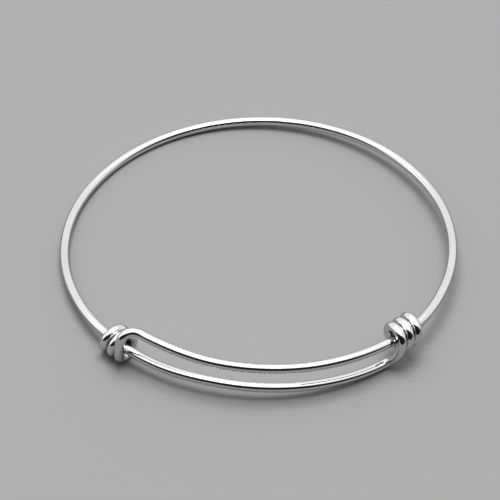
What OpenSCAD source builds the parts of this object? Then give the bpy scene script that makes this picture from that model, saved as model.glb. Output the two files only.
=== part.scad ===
// Adjustable wire bangle: one round wire bent into a ring. Its two ends run side by side along
// the front, and each ends in a coil of two and a half turns round the other strand.
// It lies on its side as it rests on a table: the front is -Y, up is +Z, and the origin is
// under the middle of its bounding box.

/* [Wire] */
// Diameter of the round wire
wire_d = 1.5; // [1.45:0.05:1.6]
// Rounding of the wire's two cut ends
end_round = 0.25; // [0.1:0.05:0.4]

/* [Ring] */
// Inner diameter of the ring
ring_inner_d = 60; // [56:1:68]
// How far the front is flattened toward the middle
front_flat = 0.88; // [0:0.04:1]

/* [Double strand] */
// Air between the two strands at the front
strand_air = 2.5; // [2.3:0.1:2.7]
// How much each strand moves away from the other toward both coils
strand_spread = 0.28; // [0.1:0.02:0.34]
// How far each strand sways outward at the coil it passes through, and inward at its own
strand_sway = 0.2; // [0:0.05:0.3]

/* [Coils] */
// Angle from the front to the middle of the coil on the right
right_coil_angle = 45.9; // [45:0.1:50]
// Angle from the front to the middle of the coil on the left
left_coil_angle = 45.9; // [44:0.1:50]
// Gap between neighbouring turns of the coil on the right
right_turn_gap = 0.23; // [0.08:0.01:0.26]
// Gap between neighbouring turns of the coil on the left
left_turn_gap = 0.08; // [0.08:0.01:0.3]
// Play between a coil and the strand that it slides on
coil_play = 0.37; // [0.31:0.02:0.45]
// Angle turned by the wire in each coil
coil_turn = 870; // [780:10:880]

/* [Hidden] */

wire_r = wire_d / 2;
ring_r = ring_inner_d / 2 + wire_r;
strand_gap = wire_d + strand_air;
coil_r = wire_d + coil_play;

// The strand that a coil slides on touches it from this side, with a little air left
seat_dir = 155;
seat = 0.82 * coil_play;

// A coil's turns start this far round the strand, counted from its outer side upward
first_turn = 10;

// Each end's row, in wire diameters: way from the bend's start to the coil's middle, slant of
// the turns, and the pull of the bend's curve at its start and at the first turn
LEAD = 0;
SLANT = 1;
PULL_START = 2;
PULL_TURN = 3;
right_end = [2.65, -0.07, 1, 1.73];
left_end = [3.44, 0.03, 1.87, 4.33];

// Angles from the front between which the strands change shape
flat_reach = 80;
drop_angle = 45.5;
drop_blend = 9;
spread_from = 8;
spread_over = 30;
sway_from = 75;
sway_over = 25;

// Fineness of the wire
wire_sides = 12;
arc_step = 2.5;
bend_steps = 14;
turn_step = 15;
nudge = 0.5;

function unit(v) = v / norm(v);
function smooth(t) = t <= 0 ? 0 : t >= 1 ? 1 : t * t * t * (t * (6 * t - 15) + 10);
function half_turn(p) = [-p.x, p.y, -p.z];
function reversed(list) = [for (i = [len(list) - 1:-1:0]) list[i]];

// The lower strand, by its angle from the front. It comes from the back round the left side,
// passes through the left coil and drops along the front to its own coil on the right.
function lower_strand(angle) =
    let (
        passing = smooth((-angle - spread_from) / spread_over),
        ending = smooth((angle - spread_from) / spread_over),
        flat = front_flat * pow(max(0, 1 - pow(angle / flat_reach, 2)), 2),
        sway = strand_sway * (passing * smooth((angle + sway_from) / sway_over) - ending),
        radius = ring_r - flat + sway,
        x = radius * sin(angle),
        drop = smooth((angle + drop_angle + drop_blend) / (2 * drop_blend)),
        reach = ring_r * sin(drop_angle),
        z = -drop * (strand_gap / 2 * (1 + x / reach) + strand_spread * passing)
            - strand_spread * ending
    )
    [x, -radius * cos(angle), z];

// The upper strand is the lower one turned half round about the front-to-back line
function upper_strand(angle) = half_turn(lower_strand(-angle));

function strand_dir(angle) = unit(lower_strand(angle + nudge) - lower_strand(angle - nudge));
function upper_dir(angle) = unit(upper_strand(angle + nudge) - upper_strand(angle - nudge));

// A coil's frame on the upper strand: its middle, axis, outward side and upward side
function coil_frame(angle) =
    let (
        axis = upper_dir(angle),
        up = unit([0, 0, 1] - axis.z * axis),
        out = cross(axis, up)
    )
    [upper_strand(angle) + seat * (cos(seat_dir) * out + sin(seat_dir) * up), axis, out, up];

function turn_point(frame, pitch, slant, turned) =
    frame[0]
    + frame[1] * (pitch * (turned - first_turn - coil_turn / 2) / 360 + slant * cos(turned))
    + coil_r * (cos(turned) * frame[2] + sin(turned) * frame[3]);

function bezier(a, b, c, d, t) =
    pow(1 - t, 3) * a + 3 * t * pow(1 - t, 2) * b + 3 * t * t * (1 - t) * c + pow(t, 3) * d;

// The lower strand from the back to its cut end, with the bend and the coil of the given row
function half_wire(coil_angle, turn_gap, row) =
    let (
        bend_angle = coil_angle - row[LEAD] * wire_d / ring_r * 180 / PI,
        frame = coil_frame(coil_angle),
        pitch = wire_d + turn_gap,
        slant = row[SLANT] * wire_d,
        a = lower_strand(bend_angle),
        d = turn_point(frame, pitch, slant, first_turn),
        turn_dir = unit(turn_point(frame, pitch, slant, first_turn + nudge)
                        - turn_point(frame, pitch, slant, first_turn - nudge)),
        b = a + row[PULL_START] * wire_d * strand_dir(bend_angle),
        c = d - row[PULL_TURN] * wire_d * turn_dir,
        arc_steps = round((180 + bend_angle) / arc_step),
        round_angle = end_round / coil_r * 180 / PI,
        last_turn = first_turn + coil_turn,
        turn_steps = round(coil_turn / turn_step)
    )
    [
        for (i = [0:arc_steps - 1]) lower_strand(-180 + (180 + bend_angle) * i / arc_steps),
        for (i = [0:bend_steps - 1]) bezier(a, b, c, d, i / bend_steps),
        for (i = [0:turn_steps])
            let (turned = first_turn + (coil_turn - round_angle) * i / turn_steps)
            turn_point(frame, pitch, slant, turned),
        turn_point(frame, pitch, slant, last_turn - round_angle * (1 - sin(45))),
        turn_point(frame, pitch, slant, last_turn)
    ];

// The rounded ends: the wire's radius at its last three points, counted from the cut
function ring_radius(i, count) =
    let (from_end = min(i, count - 1 - i))
    wire_r - end_round * (from_end == 0 ? 1 : from_end == 1 ? 1 - cos(45) : 0);

// One round of settling: the three lowest points, left, right and at the back, are levelled
function lowest(points) =
    let (z = min([for (p = points) p.z]))
    [for (p = points) if (p.z == z) p][0];
function supports(points) = [
    lowest([for (p = points) if (p.x < -10 && p.y < -5) p]),
    lowest([for (p = points) if (p.x > 10 && p.y < -5) p]),
    lowest([for (p = points) if (p.y > 5) p])
];
function levelled(points) =
    let (
        s = supports(points),
        n = unit(cross(s[1] - s[0], s[2] - s[0])),
        k = 1 / (1 + n.z)
    )
    [for (p = points)
        [p.x - n.x * (p.z + k * (n.x * p.x + n.y * p.y)),
         p.y - n.y * (p.z + k * (n.x * p.x + n.y * p.y)),
         n * p]];
function settled(points, rounds) = rounds == 0 ? points : settled(levelled(points), rounds - 1);

// The wire's centre line from one cut end to the other, resting on z = 0
function centre_line() =
    let (
        to_right = half_wire(right_coil_angle, right_turn_gap, right_end),
        to_left = half_wire(left_coil_angle, left_turn_gap, left_end),
        whole = concat(
            reversed(to_right),
            [for (i = [1:len(to_left) - 1]) half_turn(to_left[i])]
        ),
        resting = settled(whole, 6),
        xs = [for (p = resting) p.x],
        ys = [for (p = resting) p.y],
        zs = [for (p = resting) p.z],
        shift = [(min(xs) + max(xs)) / 2, (min(ys) + max(ys)) / 2, min(zs) - wire_r]
    )
    [for (p = resting) p - shift];

// Sweeps a round section along a line of points without twisting it
module swept_wire(line) {
    count = len(line);
    dirs = [for (i = [0:count - 1])
        unit(line[min(i + 1, count - 1)] - line[max(i - 1, 0)])];
    back = search(max([for (p = line) p.y]), [for (p = line) p.y])[0];
    sides_before = [for (i = back, side = [0, 1, 0]; i >= 0; i = i - 1,
        side = i < 0 ? side : unit(side - (side * dirs[i]) * dirs[i])) side];
    sides_after = [for (i = back, side = [0, 1, 0]; i < count; i = i + 1,
        side = i < count ? unit(side - (side * dirs[i]) * dirs[i]) : side) side];
    sides = concat(
        reversed(sides_before),
        [for (i = [1:len(sides_after) - 1]) sides_after[i]]
    );
    points = [for (i = [0:count - 1])
        let (r = ring_radius(i, count), other = cross(dirs[i], sides[i]))
        for (k = [0:wire_sides - 1])
            let (a = 360 * k / wire_sides)
            line[i] + r * (cos(a) * sides[i] + sin(a) * other)];
    first_cap = [for (k = [0:wire_sides - 1]) k];
    last_cap = [for (k = [wire_sides - 1:-1:0]) (count - 1) * wire_sides + k];
    skin = [for (i = [0:count - 2], k = [0:wire_sides - 1])
        let (
            here = i * wire_sides + k,
            beside = i * wire_sides + (k + 1) % wire_sides
        )
        each [
            [here, here + wire_sides, beside],
            [beside, here + wire_sides, beside + wire_sides]
        ]];
    polyhedron(points, concat([first_cap, last_cap], skin));
}

module bangle_wire() {
    color("silver") swept_wire(centre_line());
}

bangle_wire();
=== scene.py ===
# Adjustable bangle in mirror-polished steel wire, lying on its side as it rests on a table.
# One wire makes the ring and both coils. It is swept with Geometry Nodes along a computed line.
import math

import bpy
from mathutils import Matrix, Vector


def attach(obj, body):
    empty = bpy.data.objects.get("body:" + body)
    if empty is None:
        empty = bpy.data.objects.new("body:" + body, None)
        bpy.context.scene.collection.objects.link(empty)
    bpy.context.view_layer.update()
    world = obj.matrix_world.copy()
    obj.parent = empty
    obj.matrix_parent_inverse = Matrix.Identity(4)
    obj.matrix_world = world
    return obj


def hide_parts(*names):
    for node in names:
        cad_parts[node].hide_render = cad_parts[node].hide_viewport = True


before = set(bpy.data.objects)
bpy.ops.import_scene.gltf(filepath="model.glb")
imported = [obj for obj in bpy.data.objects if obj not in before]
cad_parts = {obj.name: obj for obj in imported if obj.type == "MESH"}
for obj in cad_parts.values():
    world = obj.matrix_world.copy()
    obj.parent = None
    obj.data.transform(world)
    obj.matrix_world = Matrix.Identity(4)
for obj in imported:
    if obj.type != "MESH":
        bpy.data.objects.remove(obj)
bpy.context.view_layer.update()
print("frame loaded:", list(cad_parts))

# Lengths are in metres and angles in degrees from the front, apart from where a line says
wire = {
    "diameter": 0.0015,
    "endRound": 0.00025,        # rounding of the two cut ends
    "sides": 40,
    "arcStep": 0.8,             # degrees between rings on the long arcs
    "bendSteps": 40,
    "turnStep": 4.0,            # degrees between rings on the coils
    "endSteps": 6,              # rings that round each cut end
    "waver": 0.000048,          # width of the band that the hand-bent wire strays in
    "waverSize": 0.009,
    "steadyEnd": 0.040,         # each end, with its own bend and coil, doesn't stray
    "strayingFrom": 0.055,      # from here on the wire strays in full
    "dents": 0.000004,          # faint flats left by the bending tools near the coils
    "dentsPerMillimetre": 0.55,
    "dentLevels": (0.56, 0.70),  # of the noise, between which a flat fades in
    "seed": 7,
}

ring = {
    "innerDiameter": 0.060,
    "frontFlat": 0.00088,       # the front is a little flatter than the rest
    "strandAir": 0.0025,        # air between the two strands at the front
    "strandSpread": 0.00028,    # the strands move this far apart toward both coils
    "strandSway": 0.0002,       # and outward at the coil they pass, inward at their own
}

coils = {
    "play": 0.00037,            # between a coil and the strand it slides on
    "turned": 870.0,
    "firstTurn": 10.0,          # where the turns begin, from the coil's outer side upward
    "seatShare": 0.82,          # share of the play by which a coil sits off its strand
    "seatSide": 155.0,          # and the side to which it does, from the outer side upward
}

# The lead into a coil, the slant of its turns and the pulls of its bend are in wire diameters
ends = {
    "right": {
        "middle": 45.9, "turnGap": 0.00023,
        "lead": 2.65, "slant": -0.07, "pullStart": 1.0, "pullTurn": 1.73,
    },
    "left": {
        "middle": 45.9, "turnGap": 0.00008,
        "lead": 3.44, "slant": 0.03, "pullStart": 1.87, "pullTurn": 4.33,
    },
}

# Angles at which the strands change their shape
shapes = {
    "flatReach": 80.0,
    "dropAngle": 45.5,
    "dropBlend": 9.0,
    "spreadFrom": 8.0,
    "spreadOver": 30.0,
    "swayFrom": 75.0,
    "swayOver": 25.0,
}

wireRadius = wire["diameter"] / 2
ringRadius = ring["innerDiameter"] / 2 + wireRadius
strandGap = wire["diameter"] + ring["strandAir"]
coilRadius = wire["diameter"] + coils["play"]
up = Vector((0, 0, 1))
millimetres = 1000.0            # in a metre
nudge = 0.5                     # degrees to each side, where a path's heading is taken


def smooth(share):
    share = min(max(share, 0.0), 1.0)
    return share ** 3 * (share * (6 * share - 15) + 10)


def halfTurn(point):
    return Vector((-point.x, point.y, -point.z))


def lowerStrand(angle):
    passing = smooth((-angle - shapes["spreadFrom"]) / shapes["spreadOver"])
    ending = smooth((angle - shapes["spreadFrom"]) / shapes["spreadOver"])
    flat = ring["frontFlat"] * max(0.0, 1 - (angle / shapes["flatReach"]) ** 2) ** 2
    inFromBack = smooth((angle + shapes["swayFrom"]) / shapes["swayOver"])
    radius = ringRadius - flat + ring["strandSway"] * (passing * inFromBack - ending)
    x = radius * math.sin(math.radians(angle))
    blend = shapes["dropBlend"]
    drop = smooth((angle + shapes["dropAngle"] + blend) / (2 * blend))
    reach = ringRadius * math.sin(math.radians(shapes["dropAngle"]))
    z = -drop * (strandGap / 2 * (1 + x / reach) + ring["strandSpread"] * passing)
    z -= ring["strandSpread"] * ending
    return Vector((x, -radius * math.cos(math.radians(angle)), z))


def upperStrand(angle):
    return halfTurn(lowerStrand(-angle))


def heading(path, at):
    return (path(at + nudge) - path(at - nudge)).normalized()


def coilTurns(end):
    # The line of the turns round the upper strand, by the angle turned
    axis = heading(upperStrand, end["middle"])
    rise = (up - axis.z * axis).normalized()
    out = axis.cross(rise)
    side = math.radians(coils["seatSide"])
    seat = coils["seatShare"] * coils["play"]
    middle = upperStrand(end["middle"]) + seat * (math.cos(side) * out + math.sin(side) * rise)
    pitch = wire["diameter"] + end["turnGap"]
    slant = end["slant"] * wire["diameter"]
    half = coils["firstTurn"] + coils["turned"] / 2

    def at(turned):
        c = math.cos(math.radians(turned))
        s = math.sin(math.radians(turned))
        along = pitch * (turned - half) / 360 + slant * c
        return middle + axis * along + coilRadius * (c * out + s * rise)
    return at


def bezier(a, b, c, d, t):
    return (1 - t) ** 3 * a + 3 * t * (1 - t) ** 2 * b + 3 * t * t * (1 - t) * c + t ** 3 * d


def halfWire(end):
    # From the back of the ring to one cut end
    bendAngle = end["middle"] - math.degrees(end["lead"] * wire["diameter"] / ringRadius)
    turn = coilTurns(end)
    first = coils["firstTurn"]
    start = lowerStrand(bendAngle)
    finish = turn(first)
    pullStart = end["pullStart"] * wire["diameter"] * heading(lowerStrand, bendAngle)
    pullTurn = end["pullTurn"] * wire["diameter"] * heading(turn, first)
    arcSteps = round((180 + bendAngle) / wire["arcStep"])
    turnSteps = round(coils["turned"] / wire["turnStep"])
    roundAngle = math.degrees(wire["endRound"] / coilRadius)
    points = [lowerStrand(-180 + (180 + bendAngle) * i / arcSteps) for i in range(arcSteps)]
    for i in range(wire["bendSteps"]):
        share = i / wire["bendSteps"]
        points.append(bezier(start, start + pullStart, finish - pullTurn, finish, share))
    for i in range(turnSteps):
        points.append(turn(first + (coils["turned"] - roundAngle) * i / turnSteps))
    for i in range(wire["endSteps"] + 1):
        left = roundAngle * (1 - math.sin(math.pi / 2 * i / wire["endSteps"]))
        points.append(turn(first + coils["turned"] - left))
    return points


# The wire rests on three places: two at least this far aside and ahead, and one behind
rests = {
    "aside": 0.010,
    "ahead": 0.005,
    "rounds": 6,
}


def lowest(points):
    return min(points, key=lambda p: p.z)


def settle(points):
    # Turns the wire until its three lowest places, left, right and back, are level
    aside = rests["aside"]
    ahead = rests["ahead"]
    for _ in range(rests["rounds"]):
        left = lowest(p for p in points if p.x < -aside and p.y < -ahead)
        right = lowest(p for p in points if p.x > aside and p.y < -ahead)
        back = lowest(p for p in points if p.y > ahead)
        normal = (right - left).cross(back - left)
        level = normal.rotation_difference(up).to_matrix()
        points = [level @ p for p in points]
    low = Vector([min(p[k] for p in points) for k in range(3)])
    high = Vector([max(p[k] for p in points) for k in range(3)])
    shift = Vector(((low.x + high.x) / 2, (low.y + high.y) / 2, low.z - wireRadius))
    return [p - shift for p in points]


def wireLine():
    toRight = halfWire(ends["right"])
    toLeft = [halfTurn(p) for p in halfWire(ends["left"])]
    return settle(toRight[::-1] + toLeft[1:])


def wireLength(points):
    return sum((b - a).length for a, b in zip(points, points[1:]))


class Field:
    # A node's output that can be used in sums
    def __init__(self, maker, socket):
        self.maker = maker
        self.socket = socket

    def join(self, operation, first, second):
        return self.maker.make("ShaderNodeMath", {"operation": operation}, [first, second])

    def __add__(self, other):
        return self.join("ADD", self, other)

    def __radd__(self, other):
        return self.join("ADD", other, self)

    def __sub__(self, other):
        return self.join("SUBTRACT", self, other)

    def __rsub__(self, other):
        return self.join("SUBTRACT", other, self)

    def __mul__(self, other):
        return self.join("MULTIPLY", self, other)

    def __rmul__(self, other):
        return self.join("MULTIPLY", other, self)

    def __truediv__(self, other):
        return self.join("DIVIDE", self, other)

    def __rtruediv__(self, other):
        return self.join("DIVIDE", other, self)

    def __pow__(self, other):
        return self.join("POWER", self, other)


class Maker:
    # Adds nodes to one tree, a node's settings first and then its inputs
    def __init__(self, tree):
        self.tree = tree

    def make(self, kind, settings=None, inputs=None, output=0):
        node = self.tree.nodes.new(kind)
        for name, value in (settings or {}).items():
            setattr(node, name, value)
        pairs = inputs.items() if isinstance(inputs, dict) else enumerate(inputs or [])
        for name, value in pairs:
            if isinstance(value, Field):
                self.tree.links.new(value.socket, node.inputs[name])
            else:
                node.inputs[name].default_value = value
        return Field(self, node.outputs[output]) if len(node.outputs) else None

    def ramp(self, value, low, high):
        # 0 below low, 1 above high, smooth between them
        settings = {"interpolation_type": "SMOOTHSTEP"}
        inputs = {"Value": value, "From Min": low, "From Max": high}
        return self.make("ShaderNodeMapRange", settings, inputs)

    def noise(self, vector, detail, roughness):
        inputs = {"Vector": vector, "Scale": 1.0, "Detail": detail, "Roughness": roughness}
        return self.make("ShaderNodeTexNoise", None, inputs)


steel = {
    "colour": (0.62, 0.62, 0.62),
    "dullColour": (0.50, 0.50, 0.50),
    "rimTint": (0.65, 0.65, 0.65),  # bare steel reflects less towards its outline
    "polish": 0.045,            # roughness of the clean polish
    "hazeRoughness": 0.03,      # added by haze and handling
    "spotRoughness": 0.02,
    "scratchRoughness": 0.12,
    "filedRoughness": 0.30,     # on the two cut faces
    "filedColour": (0.34, 0.34, 0.34),
    "lineDepth": 0.0000003,     # fine lines left by drawing the wire
    "scratchDepth": 0.0000006,
    "pitDepth": 0.0000012,
    "fileDepth": 0.000012,      # coarse marks on the two cut faces
    # Places on the wire are in millimetres from its nearer end
    "filed": (0.02, 0.10),      # the file marks fade out between these
    "worked": (40.0, 47.0),     # and so do the cross scratches of the bend and the coil
    "rubbed": (55.0, 105.0),    # the other coil slides between these
    "rubbedBlend": 8.0,
    "strayHairlines": 0.25,     # share of the hairlines where no coil slides
    "crossedShare": 0.8,
    "dulling": {"haze": 0.30, "spots": 0.18, "scratches": 0.24, "pits": 0.30},
    # A mark repeats so often per millimetre, across the wire both ways and along it, and
    # fades in between the two levels of its noise
    "marks": {
        "lines": {"often": (9.0, 9.0, 0.16), "detail": 3.0, "roughness": 0.6},
        "hairlines": {
            "often": (26.0, 26.0, 0.5), "detail": 1.0, "roughness": 0.5, "levels": (0.60, 0.72)},
        "crossed": {
            "often": (1.1, 1.1, 16.0), "detail": 2.0, "roughness": 0.6, "levels": (0.66, 0.72)},
        "haze": {
            "often": (0.35, 0.35, 0.12), "detail": 3.0, "roughness": 0.55,
            "levels": (0.42, 0.70)},
        "spots": {
            "often": (1.6, 1.6, 1.6), "detail": 2.0, "roughness": 0.5, "levels": (0.62, 0.74)},
        "pits": {
            "often": (7.0, 7.0, 6.0), "detail": 1.0, "roughness": 0.5, "levels": (0.76, 0.80)},
        "fileMarks": {"often": (8.0, 0.7, 0.0), "detail": 2.0, "roughness": 0.6},
    },
}


def polishedSteel(length):
    material = bpy.data.materials.new("polishedSteel")
    material.use_nodes = True
    tree = material.node_tree
    tree.nodes.clear()
    maker = Maker(tree)
    # "straight" is the place on the wire as if it lay straight along Z, in millimetres
    straight = maker.make("ShaderNodeAttribute", {"attribute_name": "straight"}, None, "Vector")
    along = maker.make("ShaderNodeSeparateXYZ", None, [straight], 2)

    def mark(name):
        row = steel["marks"][name]
        scaled = maker.make(
            "ShaderNodeVectorMath", {"operation": "MULTIPLY"}, [straight, row["often"]])
        value = maker.noise(scaled, row["detail"], row["roughness"])
        return maker.ramp(value, *row["levels"]) if "levels" in row else value

    def blended(factor, first, second):
        # The colours of a Mix node are its inputs 6 and 7 and its output 2
        return maker.make(
            "ShaderNodeMix", {"data_type": "RGBA", "clamp_factor": True},
            {0: factor, 6: first, 7: second}, 2)

    toOtherEnd = length * millimetres - along
    fromEnd = maker.make("ShaderNodeMath", {"operation": "MINIMUM"}, [along, toOtherEnd])
    filed = 1 - maker.ramp(fromEnd, *steel["filed"])
    worked = 1 - maker.ramp(fromEnd, *steel["worked"])
    rubbedFrom, rubbedTo = steel["rubbed"]
    blend = steel["rubbedBlend"]
    rubbed = (maker.ramp(fromEnd, rubbedFrom - blend, rubbedFrom + blend)
              - maker.ramp(fromEnd, rubbedTo - blend, rubbedTo + blend))
    haze = mark("haze")
    spots = mark("spots")
    pits = mark("pits")
    stray = steel["strayHairlines"]
    scratches = (mark("hairlines") * (stray + (1 - stray) * rubbed)
                 + mark("crossed") * worked * steel["crossedShare"])
    dulling = steel["dulling"]
    dull = (haze * dulling["haze"] + spots * dulling["spots"]
            + scratches * dulling["scratches"] + pits * dulling["pits"])
    colour = blended(dull, (*steel["colour"], 1), (*steel["dullColour"], 1))
    colour = blended(filed, colour, (*steel["filedColour"], 1))
    roughness = (steel["polish"] + haze * steel["hazeRoughness"]
                 + spots * steel["spotRoughness"] + scratches * steel["scratchRoughness"]
                 + filed * steel["filedRoughness"])
    height = (mark("lines") * steel["lineDepth"] - scratches * steel["scratchDepth"]
              - pits * steel["pitDepth"] + mark("fileMarks") * filed * steel["fileDepth"])
    normal = maker.make(
        "ShaderNodeBump", None, {"Strength": 1.0, "Distance": 1.0, "Height": height})
    shader = maker.make("ShaderNodeBsdfPrincipled", None, {
        "Base Color": colour, "Specular Tint": (*steel["rimTint"], 1), "Metallic": 1.0,
        "Roughness": roughness, "Normal": normal})
    maker.make("ShaderNodeOutputMaterial", None, [shader])
    return material


def sweepTree():
    # Sweeps a round section along a curve and rounds both of its ends
    tree = bpy.data.node_groups.new("sweptWire", "GeometryNodeTree")
    sockets = {}
    tree.interface.new_socket("Geometry", in_out="OUTPUT", socket_type="NodeSocketGeometry")
    tree.interface.new_socket("Geometry", in_out="INPUT", socket_type="NodeSocketGeometry")
    for name, kind in (("Wire radius", "Float"), ("End round", "Float"), ("Waver", "Float"),
                       ("Waver size", "Float"), ("Dents", "Float"), ("Sides", "Int"),
                       ("Seed", "Int"), ("Material", "Material")):
        socket = tree.interface.new_socket(name, in_out="INPUT", socket_type="NodeSocket" + kind)
        sockets[name] = socket.identifier
    maker = Maker(tree)
    group = tree.nodes.new("NodeGroupInput")

    def given(name):
        return Field(maker, group.outputs[name])

    along = maker.make("GeometryNodeSplineParameter", None, None, "Length")
    length = maker.make("GeometryNodeSplineLength")
    fromEnd = maker.make("ShaderNodeMath", {"operation": "MINIMUM"}, [along, length - along])
    position = maker.make("GeometryNodeInputPosition")
    # A slow waver of the line, except in its own bends and coils
    wander = maker.make(
        "ShaderNodeTexNoise", {"noise_dimensions": "4D"},
        {"Vector": position, "W": given("Seed"), "Scale": 1.0 / given("Waver size"),
         "Detail": 1.0}, "Color")
    centred = maker.make(
        "ShaderNodeVectorMath", {"operation": "SUBTRACT"}, [wander, (0.5, 0.5, 0.5)])
    free = maker.ramp(fromEnd, wire["steadyEnd"], wire["strayingFrom"])
    strayed = maker.make(
        "ShaderNodeVectorMath", {"operation": "SCALE"},
        {0: centred, "Scale": free * given("Waver")})
    moved = maker.make(
        "GeometryNodeSetPosition", None, {"Geometry": given("Geometry"), "Offset": strayed})
    # The wire gets thinner along a quarter circle at both cut ends
    roundness = given("End round")
    into = maker.make("ShaderNodeMath", {"operation": "MAXIMUM"}, [roundness - fromEnd, 0.0])
    fall = roundness - (roundness * roundness - into * into) ** 0.5
    girth = 1.0 - fall / given("Wire radius")
    circle = maker.make(
        "GeometryNodeCurvePrimitiveCircle", {"mode": "RADIUS"},
        {"Resolution": given("Sides"), "Radius": given("Wire radius")})

    def capture(geometry, kind, name, value):
        node = tree.nodes.new("GeometryNodeCaptureAttribute")
        node.capture_items.new(kind, name)
        tree.links.new(geometry.socket, node.inputs[0])
        tree.links.new(value.socket, node.inputs[1])
        return Field(maker, node.outputs[0]), Field(maker, node.outputs[1])

    moved, alongWire = capture(moved, "FLOAT", "along", along)
    circle, around = capture(circle, "VECTOR", "around", position)
    body = maker.make(
        "GeometryNodeCurveToMesh", None,
        {"Curve": moved, "Profile Curve": circle, "Scale": girth, "Fill Caps": True})
    lengthwise = maker.make("ShaderNodeCombineXYZ", None, {"Z": alongWire})
    place = maker.make("ShaderNodeVectorMath", {"operation": "ADD"}, [around, lengthwise])
    straight = maker.make(
        "ShaderNodeVectorMath", {"operation": "SCALE"}, {0: place, "Scale": millimetres})
    named = maker.make(
        "GeometryNodeStoreNamedAttribute", {"data_type": "FLOAT_VECTOR", "domain": "POINT"},
        {"Geometry": body, "Name": "straight", "Value": straight})
    # Faint flats from the bending tools, on the bends and coils only
    tooled = maker.make(
        "ShaderNodeTexNoise", {"noise_dimensions": "4D"},
        {"Vector": straight, "W": given("Seed"), "Scale": wire["dentsPerMillimetre"],
         "Detail": 1.0})
    pressed = maker.ramp(tooled, *wire["dentLevels"]) * (1 - free)
    normal = maker.make("GeometryNodeInputNormal")
    dent = maker.make(
        "ShaderNodeVectorMath", {"operation": "SCALE"},
        {0: normal, "Scale": pressed * given("Dents") * -1.0})
    dented = maker.make("GeometryNodeSetPosition", None, {"Geometry": named, "Offset": dent})
    soft = maker.make("GeometryNodeSetShadeSmooth", None, {"Geometry": dented})
    real = maker.make("GeometryNodeRealizeInstances", None, {"Geometry": soft})
    coated = maker.make(
        "GeometryNodeSetMaterial", None, {"Geometry": real, "Material": given("Material")})
    maker.make("NodeGroupOutput", None, {0: coated})
    return tree, sockets


def makeWire():
    points = wireLine()
    length = wireLength(points)
    print("wire of", round(length * millimetres, 1), "mm,", len(points), "rings")
    data = bpy.data.curves.new("bangleLine", "CURVE")
    data.dimensions = "3D"
    data.twist_mode = "MINIMUM"
    spline = data.splines.new("POLY")
    spline.points.add(len(points) - 1)
    for place, point in zip(spline.points, points):
        place.co = (*point, 1.0)
    line = bpy.data.objects.new("bangleLine", data)
    bpy.context.scene.collection.objects.link(line)
    tree, sockets = sweepTree()
    modifier = line.modifiers.new("sweptWire", "NODES")
    modifier.node_group = tree
    values = {
        "Wire radius": wireRadius, "End round": wire["endRound"], "Waver": wire["waver"],
        "Waver size": wire["waverSize"], "Dents": wire["dents"], "Sides": wire["sides"],
        "Seed": wire["seed"], "Material": polishedSteel(length)}
    for name, value in values.items():
        modifier[sockets[name]] = value
    line.update_tag()
    graph = bpy.context.evaluated_depsgraph_get()
    mesh = bpy.data.meshes.new_from_object(line.evaluated_get(graph))
    line.modifiers.remove(modifier)
    bpy.data.objects.remove(line)
    mesh.name = "bangleWire"
    piece = bpy.data.objects.new("bangleWire", mesh)
    bpy.context.scene.collection.objects.link(piece)
    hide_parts("bangle_wire")
    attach(piece, "root")
    print("wire mesh:", len(mesh.polygons), "faces")
    return piece


floor = {
    "size": 1.6,
    "colour": (0.13, 0.13, 0.13),
    "roughness": 0.75,
}


def makeFloor():
    half = floor["size"] / 2
    mesh = bpy.data.meshes.new("paleFloor")
    corners = [(-half, -half, 0), (half, -half, 0), (half, half, 0), (-half, half, 0)]
    mesh.from_pydata(corners, [], [(0, 1, 2, 3)])
    piece = bpy.data.objects.new("paleFloor", mesh)
    bpy.context.scene.collection.objects.link(piece)
    material = bpy.data.materials.new("paleFloor")
    material.use_nodes = True
    material.node_tree.nodes.clear()
    maker = Maker(material.node_tree)
    shader = maker.make("ShaderNodeBsdfPrincipled", None, {
        "Base Color": (*floor["colour"], 1), "Roughness": floor["roughness"]})
    maker.make("ShaderNodeOutputMaterial", None, [shader])
    mesh.materials.append(material)


tent = {
    "walls": 1.25,              # brightness of the light tent's walls
    "roof": 1.9,
    "roofLean": 6.0,            # degrees that the roof leans to the left
    "roofFrom": 47.0,           # degrees above the floor where it begins
    "leftPanel": 1.7,
    "leftPanelFrom": 0.90,      # cosine of the angle from straight left to the panel's edge
    "opening": 0.018,           # brightness of the dark opening that the camera looks in by
    "openingTurn": 2.0,         # degrees to the right of the front
    "openingHalfWidth": 84.0,
    "openingHeight": 55.0,
    "edgeBlur": 0.06,           # softness of the edges of the roof, the panel and the opening
}

lamp = {
    "watts": 6.0,
    "size": (0.34, 0.34),
    "place": (-0.01, 0.05, 0.60),
}


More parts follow.
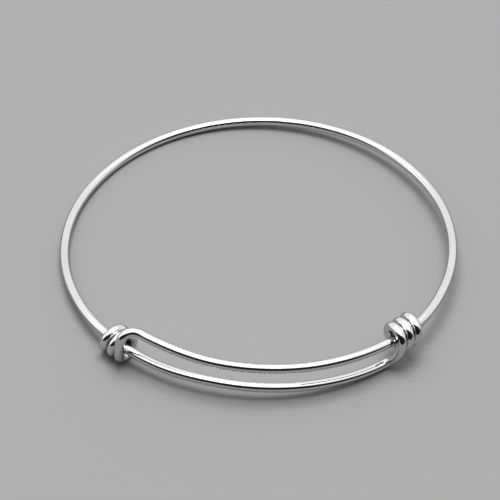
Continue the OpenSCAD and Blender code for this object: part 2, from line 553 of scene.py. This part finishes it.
def makeTent():
    world = bpy.data.worlds.new("softTent")
    bpy.context.scene.world = world
    world.use_nodes = True
    world.node_tree.nodes.clear()
    maker = Maker(world.node_tree)
    way = maker.make("ShaderNodeTexCoord", None, None, "Generated")
    blur = tent["edgeBlur"]

    def toward(direction):
        return maker.make(
            "ShaderNodeVectorMath", {"operation": "DOT_PRODUCT"}, [way, direction], "Value")

    def edge(value, place):
        return maker.ramp(value, place - blur, place + blur)

    lean = math.radians(tent["roofLean"])
    turn = math.radians(tent["openingTurn"])
    width = math.sin(math.radians(tent["openingHalfWidth"]))
    height = math.sin(math.radians(tent["openingHeight"]))
    across = toward((math.cos(turn) / width, math.sin(turn) / width, 0))
    risen = toward((0, 0, 1 / height))
    outside = edge(across * across + risen * risen, 1.0)
    inFront = edge(toward((math.sin(turn), -math.cos(turn), 0)), 0.0)
    panel = edge(toward((-1, 0, 0)), tent["leftPanelFrom"])
    roof = edge(toward((-math.sin(lean), 0, math.cos(lean))),
                math.sin(math.radians(tent["roofFrom"])))
    lit = tent["walls"] + (tent["leftPanel"] - tent["walls"]) * panel
    lit = lit + (tent["roof"] - lit) * roof
    lit = lit + (tent["opening"] - lit) * (1 - outside) * inFront
    background = maker.make("ShaderNodeBackground", None, {"Color": lit, "Strength": 1.0})
    maker.make("ShaderNodeOutputWorld", None, [background])


def makeLamp():
    data = bpy.data.lights.new("roofLamp", "AREA")
    data.shape = "RECTANGLE"
    data.size, data.size_y = lamp["size"]
    data.energy = lamp["watts"]
    light = bpy.data.objects.new("roofLamp", data)
    light.location = lamp["place"]
    light.rotation_euler = Vector(lamp["place"]).to_track_quat("Z", "Y").to_euler()
    bpy.context.scene.collection.objects.link(light)


view = {
    "azimuth": -2.382,
    "elevation": 45.137,
    "roll": 2.194,
    "distance": 0.450,
    "aim": (-0.001313, -0.000916, 0.002184),
    "lens": 204.2,              # this and the sensor's width are in millimetres
    "sensor": 36.0,
    "nearest": 0.01,            # the camera sees nothing nearer, and nothing past the farthest
    "farthest": 20.0,
}


def makeCamera():
    azimuth = math.radians(view["azimuth"])
    elevation = math.radians(view["elevation"])
    roll = math.radians(view["roll"])
    level = Vector((math.cos(azimuth), math.sin(azimuth), 0.0))
    back = Vector((
        math.sin(azimuth) * math.cos(elevation),
        -math.cos(azimuth) * math.cos(elevation),
        math.sin(elevation)))
    head = back.cross(level)
    right = math.cos(roll) * level + math.sin(roll) * head
    turned = Matrix((right, back.cross(right), back)).transposed()
    data = bpy.data.cameras.new("camera")
    data.sensor_width = view["sensor"]
    data.lens = view["lens"]
    data.clip_start = view["nearest"]
    data.clip_end = view["farthest"]
    camera = bpy.data.objects.new("camera", data)
    camera.matrix_world = Matrix.LocRotScale(
        Vector(view["aim"]) + view["distance"] * back, turned, None)
    bpy.context.scene.collection.objects.link(camera)
    bpy.context.scene.camera = camera


# The polish's own tones are wanted, so the picture keeps them as they are
bpy.context.scene.view_settings.view_transform = "Standard"
makeCamera()
makeWire()
makeFloor()
makeTent()
makeLamp()
print("floor, tent, lamp and camera made")
